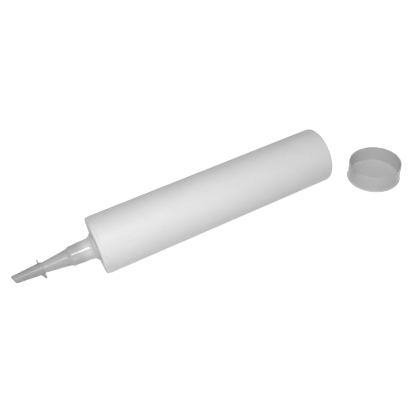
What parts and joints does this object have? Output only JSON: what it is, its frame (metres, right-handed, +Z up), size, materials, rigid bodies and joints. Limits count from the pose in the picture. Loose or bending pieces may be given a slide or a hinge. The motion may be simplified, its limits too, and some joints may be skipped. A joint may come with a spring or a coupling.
{
  "type": "empty caulk cartridge",
  "caption": "Empty white sealant cartridge lying down: open-ended barrel, screw-on tapered nozzle, winged push-on tip cap and a loose cup-shaped plunger beside it.",
  "frame": {"origin": "centre of the barrel's open rear mouth, on the barrel's axis", "axes": "+X out of the rear mouth along the barrel's axis, so the nozzle points to -X; +Z up; the barrel and the plunger rest on the plane z = -25 mm"},
  "size_m": [0.3531, 0.079, 0.05],
  "materials": {
    "white_pe": "satin moulded polyethylene, slightly translucent white",
    "natural_nozzle": "glossy natural polyethylene, milky translucent",
    "natural_cap": "glossy natural polyethylene, milky translucent",
    "natural_plunger": "glossy natural polyethylene, milky translucent"
  },
  "bodies": {
    "barrel": {"barrel": "white_pe", "plunger": "natural_plunger"},
    "nozzle": {"nozzle": "natural_nozzle"},
    "nozzle_cap": {"nozzle_cap": "natural_cap"}
  },
  "joints": [
    {"name": "nozzle_off", "type": "slide", "parent": "barrel", "child": "nozzle", "axis": [-1, 0, 0], "range_m": [0, 0.02]},
    {"name": "cap_off", "type": "slide", "parent": "nozzle", "child": "nozzle_cap", "axis": [-1, 0, 0], "range_m": [0, 0.025]}
  ]
}
